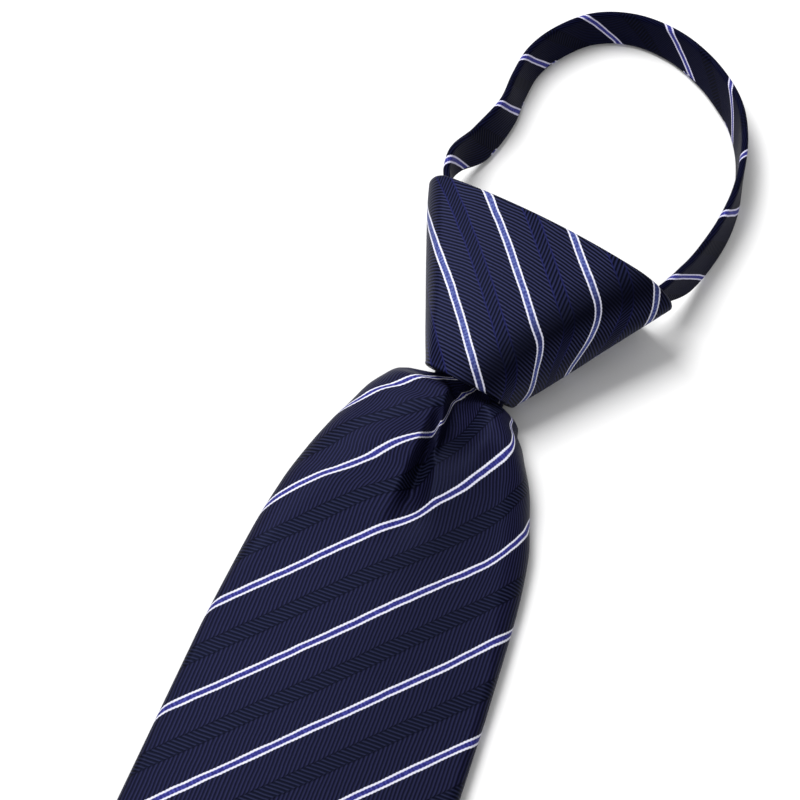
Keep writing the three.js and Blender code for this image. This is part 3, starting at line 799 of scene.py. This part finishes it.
def makeBlade():
    share = np.arange(blade["gatherFine"] + 1) / blade["gatherFine"]
    downs = lerp(-blade["bundle"], blade["gather"], share ** blade["gatherCrowding"]).tolist()
    for start, end, count in (
            (blade["gather"], shoulder, blade["straightFine"]),
            (shoulder, blade["length"] - blade["tipGap"], blade["tipFine"])):
        downs += [lerp(start, end, i / count) for i in range(1, count + 1)]
    rings, uvRows, closed = [], [], []
    top = np.where(bladeOnTop)[0]
    for down in downs:
        rings.append(bladeRing(down))
        ring = bladeRing(max(down, blade["pleatFrom"]))
        crossing = top[0] + np.searchsorted(ring[top, 0], blade["foldLine"])
        before = min(max(crossing, top[0] + 1), top[-1]) - 1
        gap = ring[before + 1, 0] - ring[before, 0]
        past = min(max((blade["foldLine"] - ring[before, 0]) / gap, 0), 1)
        around = aroundLengths(ring, before + past) + blade["foldLine"] + blade["shift"]
        uvRows.append(bladeUv(around, down, around[top[-1]]))
        closed.append(np.where(bladeOnTop, bladePaintedShade(around[:-1], down), 0))
    return gridMesh("blade_cloth", np.array(rings), np.array(uvRows), False, np.array(closed))


bladePiece = makeBlade()
dress(bladePiece, "blade", bladeJacquard)
print("blade made,", len(bladePiece.data.polygons), "faces")


# Geometry Nodes tree that lays one leaning stitch at every pitch along a path
def stitchTree(material):
    tree = bpy.data.node_groups.new("slipStitches", "GeometryNodeTree")
    tree.interface.new_socket("Geometry", in_out="INPUT", socket_type="NodeSocketGeometry")
    for name in ("Pitch", "Stitch length", "Lean", "Thread radius"):
        tree.interface.new_socket(name, in_out="INPUT", socket_type="NodeSocketFloat")
    tree.interface.new_socket("Thread sides", in_out="INPUT", socket_type="NodeSocketInt")
    tree.interface.new_socket("Geometry", in_out="OUTPUT", socket_type="NodeSocketGeometry")
    given = addNode(tree, "NodeGroupInput").outputs
    path = addNode(tree, "GeometryNodeMeshToCurve", {"Mesh": given["Geometry"]})
    spaced = addNode(tree, "GeometryNodeResampleCurve", {
        "Curve": path, "Length": given["Pitch"]}, mode="LENGTH")
    half = addNode(tree, "ShaderNodeMath", {0: given["Stitch length"], 1: 0.5}, operation="MULTIPLY")
    back = addNode(tree, "ShaderNodeMath", {0: half, 1: -1.0}, operation="MULTIPLY")
    first = addNode(tree, "ShaderNodeCombineXYZ", {"X": back})
    last = addNode(tree, "ShaderNodeCombineXYZ", {"X": half})
    line = addNode(tree, "GeometryNodeCurvePrimitiveLine", {"Start": first, "End": last})
    ring = addNode(tree, "GeometryNodeCurvePrimitiveCircle", {
        "Resolution": given["Thread sides"], "Radius": given["Thread radius"]})
    stitch = addNode(tree, "GeometryNodeCurveToMesh", {"Curve": line, "Profile Curve": ring, "Fill Caps": True})
    turn = addNode(tree, "ShaderNodeCombineXYZ", {"Z": given["Lean"]})
    laid = addNode(tree, "GeometryNodeInstanceOnPoints", {
        "Points": spaced, "Instance": stitch, "Rotation": turn})
    real = addNode(tree, "GeometryNodeRealizeInstances", {"Geometry": laid})
    dyed = addNode(tree, "GeometryNodeSetMaterial", {"Geometry": real, "Material": material})
    addNode(tree, "NodeGroupOutput", {"Geometry": dyed})
    return tree


def makeStitches():
    top = -knot["length"] / 2
    ends = [(-blade["shift"] * mm, (top - seam[end]) * mm, seam["threadHeight"] * mm) for end in ("from", "to")]
    pathMesh = bpy.data.meshes.new("seamPath")
    pathMesh.from_pydata(ends, [(0, 1)], [])
    path = addObject("seamPath", pathMesh)
    thread = yarnMaterial("sewingThreadPolyester", threadLook)
    tree = stitchTree(thread)
    modifier = path.modifiers.new("stitches", "NODES")
    modifier.node_group = tree
    values = {
        "Pitch": seam["stitchPitch"] * mm,
        "Stitch length": seam["stitchLength"] * mm,
        "Lean": math.radians(90 - seam["stitchLean"]),
        "Thread radius": seam["threadRadius"] * mm,
        "Thread sides": seam["threadSides"],
    }
    for item in tree.interface.items_tree:
        if item.name in values:
            modifier[item.identifier] = values[item.name]
    finished = path.evaluated_get(bpy.context.evaluated_depsgraph_get())
    mesh = bpy.data.meshes.new_from_object(finished)
    mesh.name = "slip_stitches"
    piece = addObject("slip_stitches", mesh)
    path.modifiers.clear()
    bpy.data.objects.remove(path)
    mesh.materials.clear()
    mesh.materials.append(thread)
    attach(piece, "root")
    return piece


stitchPiece = makeStitches()
print("slip stitches made,", len(stitchPiece.data.polygons), "faces")

neckBand = {
    "width": 9.0,
    "thickness": 1.5,
    "loopWidth": 54.0,
    "loopReach": 64.5,
    "inset": 6.0,  # how far each end goes into the knot, and the share of that it is drawn towards the middle
    "endDraw": 0.7,
    "entryHeight": 7.4,
    "weaveRun": 0.5,  # how fast the weave moves on along the stripes, for each millimetre along the band
    "alongFine": 420,
    "edgeFine": 8,
    "faceFine": 12,
    # points of the loop from the knot's left corner round to its right one: shares of half the loop's width,
    # of its reach beyond the rim and of the step up into the knot, degrees that the band leans outwards, and
    # share of its width
    "route": [
        ("across", "reach", "lift", "lean", "width"),
        (-0.885, 0.02, 1.0, 8, 0.56),
        (-1.03, 0.11, 0.7, 4, 0.75),
        (-1.06, 0.19, 0.4, 10, 0.95),
        (-0.99, 0.32, 0.0, 25, 1.0),
        (-0.95, 0.47, 0.0, 18, 1.0),
        (-0.99, 0.59, 0.0, 16, 1.0),
        (-1.0, 0.7, 0.0, 15, 1.0),
        (-0.92, 0.81, 0.0, 14, 1.0),
        (-0.72, 0.93, 0.0, 11, 1.0),
        (-0.42, 0.995, 0.0, 9, 1.0),
        (-0.06, 1.0, 0.0, 11, 1.0),
        (0.25, 0.96, 0.0, 13, 1.0),
        (0.48, 0.905, 0.0, 13, 1.0),
        (0.68, 0.835, 0.0, 9, 1.0),
        (0.84, 0.74, 0.0, 3, 1.0),
        (0.955, 0.63, 0.0, -2, 1.0),
        (1.03, 0.52, 0.0, -8, 1.0),
        (1.06, 0.4, 0.0, -12, 1.0),
        (1.05, 0.28, 0.05, -13, 1.0),
        (1.015, 0.16, 0.25, -12, 1.0),
        (0.96, 0.075, 0.6, -4, 0.9),
        (0.89, 0.015, 1.0, 5, 0.56),
    ],
    # where each stripe crosses the top edge, in millimetres along the band, and how it slants from there
    "stripes": [
        ("along", "stripe", "slant"),
        (-4.0, -1.0, 0.5),
        (17.0, 0.0, 0.7),
        (37.4, 1.0, 0.56),
        (51.1, 2.0, 0.63),
        (68.4, 3.0, 0.97),
        (87.4, 4.0, 0.97),
        (107.0, 5.0, 1.3),
        (126.0, 6.0, 1.0),
        (142.1, 7.0, 0.78),
        (164.0, 8.0, 1.35),
        (184.0, 9.0, 1.2),
    ],
}


# The same centripetal curve through the loop's points as the solid band follows
def loopCurve(points, share):
    count = len(points)
    place = (count - 1) * share
    i = min(int(place), count - 2)
    t = place - i
    p1, p2 = points[i], points[i + 1]
    p0 = points[i - 1] if i > 0 else 2 * points[0] - points[1]
    p3 = points[i + 2] if i + 2 < count else 2 * points[-1] - points[-2]
    d0, d1, d2 = [max(float(((b - a) ** 2).sum()) ** 0.25, 1e-4) for a, b in ((p0, p1), (p1, p2), (p2, p3))]
    t1 = ((p1 - p0) / d0 - (p2 - p0) / (d0 + d1) + (p2 - p1) / d1) * d1
    t2 = ((p2 - p1) / d1 - (p3 - p1) / (d1 + d2) + (p3 - p2) / d2) * d1
    return p1 + t1 * t + (-3 * p1 + 3 * p2 - 2 * t1 - t2) * t ** 2 + (2 * p1 - 2 * p2 + t1 + t2) * t ** 3


# Cloth coordinates round one ring of the band, which put each stripe where the table has it
def bandUv(across, along):
    slant = tableAt(neckBand["stripes"], along)["slant"]
    stripes = [tableAt(neckBand["stripes"], along - slant * distance)["stripe"] for distance in across]
    square = np.array(stripes) * weave["repeat"]
    run = across * math.sqrt(1 + slant ** 2) + along * neckBand["weaveRun"]
    lean = math.radians(weave["stripeLean"])
    return np.stack([
        run * math.cos(lean) - square * math.sin(lean),
        run * math.sin(lean) + square * math.cos(lean)], -1)


# Strap section as pairs of height and thickness, with rounded edges
def bandSection(width):
    flat = (width - neckBand["thickness"]) / 2
    radius = neckBand["thickness"] / 2
    section = []
    for start in (math.pi, 0):
        side = flat if start == 0 else -flat
        for i in range(neckBand["edgeFine"] + 1):
            angle = start + math.pi * i / neckBand["edgeFine"]
            section.append((side + radius * math.sin(angle), radius * math.cos(angle)))
        for i in range(1, neckBand["faceFine"]):
            section.append((lerp(side, -side, i / neckBand["faceFine"]), -radius * math.cos(start)))
    return section


def makeBand():
    names, *rows = neckBand["route"]
    rows = [rows[0], *rows, rows[-1]]
    route = [("at", *names)] + [(i / (len(rows) - 1), *row) for i, row in enumerate(rows)]
    half, rim = neckBand["loopWidth"] / 2, knot["length"] / 2
    points = [np.array([row[0] * half, rim + row[1] * neckBand["loopReach"]]) for row in rows]
    draw = neckBand["inset"] * neckBand["endDraw"]
    points[0] = np.array([points[0][0] + draw, rim - neckBand["inset"]])
    points[-1] = np.array([points[-1][0] - draw, rim - neckBand["inset"]])
    count = neckBand["alongFine"]
    centres = np.array([loopCurve(points, i / count) for i in range(count + 1)])
    tangents = np.gradient(centres, axis=0)
    tangents /= np.linalg.norm(tangents, axis=1, keepdims=True)
    travelled = np.concatenate([[0], np.cumsum(np.linalg.norm(np.diff(centres, axis=0), axis=1))])
    topEdge = int(np.argmax([up for up, out in bandSection(neckBand["width"])]))
    rings, uvRows = [], []
    for i in range(count + 1):
        stop = tableAt(route, i / count)
        outward = np.array([-tangents[i, 1], tangents[i, 0], 0.0])
        lean = math.radians(stop["lean"])
        tall = outward * math.sin(lean) + np.array([0, 0, math.cos(lean)])
        thin = outward * math.cos(lean) - np.array([0, 0, math.sin(lean)])
        width = neckBand["width"] * stop["width"]
        stand = width / 2 * math.cos(lean) + neckBand["thickness"] / 2 * abs(math.sin(lean))
        centre = np.array([*centres[i], stand + stop["lift"] * neckBand["entryHeight"]])
        section = bandSection(width)
        rings.append([centre + tall * up + thin * out for up, out in section])
        outline = np.array([*section, section[0]])
        across = np.concatenate([[0.0], np.cumsum(np.linalg.norm(np.diff(outline, axis=0), axis=1))])
        uvRows.append(bandUv(across - across[topEdge], travelled[i]))
    return gridMesh("neck_band_cloth", turned(np.array(rings), -knot["turn"]), np.array(uvRows), False)


bandPiece = makeBand()
dress(bandPiece, "neck_band", shadedBandJacquard)
print("neck band made,", len(bandPiece.data.polygons), "faces")


# A strip of tape with softly rounded edges: its section carried along the blade to a round end
def makeTail():
    half = tail["width"] / 2 - tail["inside"]
    top = tailTop() - tail["inside"]
    straight = tail["length"] - 2 * tail["inside"] - half
    angles = [math.pi / 2 * i / tail["endFine"] for i in range(tail["endFine"])]
    stations = [(straight * i / tail["alongFine"], half) for i in range(tail["alongFine"])]
    stations += [(straight + half * math.sin(angle), half * math.cos(angle)) for angle in angles]
    low, high = tail["inside"], tail["thickness"] - tail["inside"]
    middle, lift = (low + high) / 2, (high - low) / 2
    rings, uvRows = [], []
    for distance, width in stations:
        radius = min(tail["edgeRound"], width)
        section = []
        for side in (1, -1):
            for i in range(tail["edgeFine"] + 1):
                angle = math.pi * i / tail["edgeFine"]
                x = width - radius + radius * math.sin(angle)
                section.append((side * x, side * lift * math.cos(angle)))
            for i in range(1, tail["acrossFine"]):
                x = lerp(width - radius, radius - width, i / tail["acrossFine"])
                section.append((side * x, -side * lift))
        rings.append([(x - blade["shift"], top - distance, middle + z) for x, z in section])
        across = np.array([x for x, z in section] + [section[0][0]])
        uvRows.append(np.stack([across, np.full_like(across, -distance)], -1))
    return gridMesh("zip_tape", np.array(rings), np.array(uvRows), False)


tailPiece = makeTail()
dress(tailPiece, "zip_tail", yarnMaterial("zipTapePolyester", tapeLook))
print("zip tail dressed")

# Metres, as the scene's own units
studio = {
    "floorColour": "#f4f4f4",
    "floorHalf": 6.0,
    "floorDrop": 0.0002,
    "worldStrength": 0.5,
    "keyPower": 6.8,
    "keySize": 0.4,
    "keyPlace": (-0.36, 0.19, 0.66),
    "keyAim": (-0.01, -0.02, 0.0),
    "viewPlace": (0.0533, -0.2101, 0.3797),
    "viewAim": (-0.0157, -0.0204, 0.0),
    "focalPixels": 2094.1,  # focal length in the photo's own pixels
    "photoPixels": 800,
    "sensorMm": 36.0,
    "viewNear": 0.01,
    "viewFar": 20.0,
}


# Matt white table top, which shows as an even pale ground
def tableMaterial():
    material, tree = newMaterial("mattWhiteTable")
    shader = addNode(tree, "ShaderNodeBsdfPrincipled", {
        "Base Color": studio["floorColour"], "Roughness": 0.9, "Specular IOR Level": 0.1})
    addNode(tree, "ShaderNodeOutputMaterial", {"Surface": shader})
    return material


def pointAt(thing, place, aim):
    thing.location = place
    thing.rotation_mode = "QUATERNION"
    thing.rotation_quaternion = (Vector(aim) - Vector(place)).to_track_quat("-Z", "Y")


side = studio["floorHalf"]
floorMesh = bpy.data.meshes.new("floor")
floorCorners = [(-side, -side, 0), (side, -side, 0), (side, side, 0), (-side, side, 0)]
floorMesh.from_pydata(floorCorners, [], [(0, 1, 2, 3)])
floorMesh.materials.append(tableMaterial())
floor = addObject("floor", floorMesh)
floor.location.z = -studio["floorDrop"]

world = bpy.data.worlds.new("studioWorld")
bpy.context.scene.world = world
world.use_nodes = True
background = world.node_tree.nodes["Background"]
background.inputs["Color"].default_value = (1, 1, 1, 1)
background.inputs["Strength"].default_value = studio["worldStrength"]

keyLight = bpy.data.lights.new("keyLight", "AREA")
keyLight.energy, keyLight.size = studio["keyPower"], studio["keySize"]
pointAt(addObject("keyLight", keyLight), studio["keyPlace"], studio["keyAim"])

lens = bpy.data.cameras.new("camera")
lens.sensor_width = studio["sensorMm"]
lens.lens = studio["sensorMm"] * studio["focalPixels"] / studio["photoPixels"]
lens.clip_start, lens.clip_end = studio["viewNear"], studio["viewFar"]
camera = addObject("camera", lens)
pointAt(camera, studio["viewPlace"], studio["viewAim"])
bpy.context.scene.camera = camera
bpy.context.scene.view_settings.view_transform = "Standard"
print("studio made")
